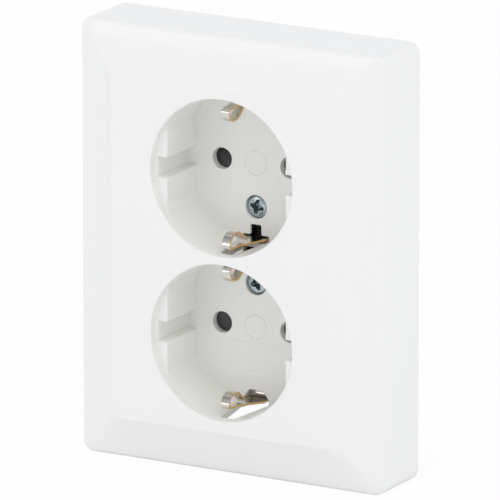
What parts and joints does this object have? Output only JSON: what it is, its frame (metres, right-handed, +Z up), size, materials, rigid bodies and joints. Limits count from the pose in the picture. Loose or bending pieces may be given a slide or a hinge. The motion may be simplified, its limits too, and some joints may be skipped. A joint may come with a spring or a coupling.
{
  "type": "double socket outlet",
  "caption": "White flush-mounted double mains outlet: a raised cover plate with two round earthed sockets, rotary shutters, side earth contacts and push-in terminals.",
  "frame": {"origin": "centre of the cover plate on the wall plane, midway between the two flush-box screws", "axes": "+X right as seen from the front, +Y into the wall, +Z up"},
  "size_m": [0.0844, 0.0395, 0.11],
  "materials": {
    "white_moulding": "satin-gloss white thermoplastic",
    "zinc_screw": "blue-passivated zinc on steel",
    "zinc_sheet": "zinc-plated sheet steel",
    "dark_insulator": "matt glass-filled insulating plastic",
    "plated_strip": "nickel-plated brass strip with bare cut edges",
    "brass_strip": "bare spring brass",
    "spring_steel": "bright stainless spring steel",
    "pusher_plastic": "light grey plastic",
    "shutter_plastic": "matt dark grey plastic"
  },
  "bodies": {
    "outlet": {"cover": "white_moulding", "cover_screws": "zinc_screw", "support_frame": "zinc_sheet", "frame_screws": "zinc_screw", "base": "dark_insulator", "contact_cover": "dark_insulator", "earth_strap": "plated_strip", "earth_bridge": "plated_strip", "earth_rivet": "brass_strip", "line_bar": "brass_strip", "neutral_bar": "brass_strip", "clamp_springs": "spring_steel", "shutter_spring_upper": "spring_steel", "shutter_spring_lower": "spring_steel"},
    "shutter_upper": {"shutter_upper": "shutter_plastic"},
    "shutter_lower": {"shutter_lower": "shutter_plastic"},
    "pusher_line": {"pusher_line": "pusher_plastic"},
    "pusher_neutral": {"pusher_neutral": "pusher_plastic"},
    "pusher_earth": {"pusher_earth": "pusher_plastic"}
  },
  "joints": [
    {"name": "shutter_upper_turn", "type": "hinge", "parent": "outlet", "child": "shutter_upper", "pos_m": [0, -0.0021, 0.02075], "axis": [0, -1, 0], "range_deg": [0, 38], "stiffness_Nm_per_rad": 0.004, "springref_deg": -20.05, "deforming": ["shutter_spring_upper"]},
    {"name": "shutter_lower_turn", "type": "hinge", "parent": "outlet", "child": "shutter_lower", "pos_m": [0, -0.0021, -0.02075], "axis": [0, -1, 0], "range_deg": [0, 38], "stiffness_Nm_per_rad": 0.004, "springref_deg": -20.05, "deforming": ["shutter_spring_lower"]},
    {"name": "pusher_line_slide", "type": "slide", "parent": "outlet", "child": "pusher_line", "axis": [0, -1, 0], "range_m": [0, 0.0011], "stiffness_N_per_m": 1500, "springref_m": -0.0005},
    {"name": "pusher_neutral_slide", "type": "slide", "parent": "outlet", "child": "pusher_neutral", "axis": [0, -1, 0], "range_m": [0, 0.0011], "stiffness_N_per_m": 1500, "springref_m": -0.0005},
    {"name": "pusher_earth_slide", "type": "slide", "parent": "outlet", "child": "pusher_earth", "axis": [0, -1, 0], "range_m": [0, 0.0011], "stiffness_N_per_m": 1500, "springref_m": -0.0005}
  ]
}
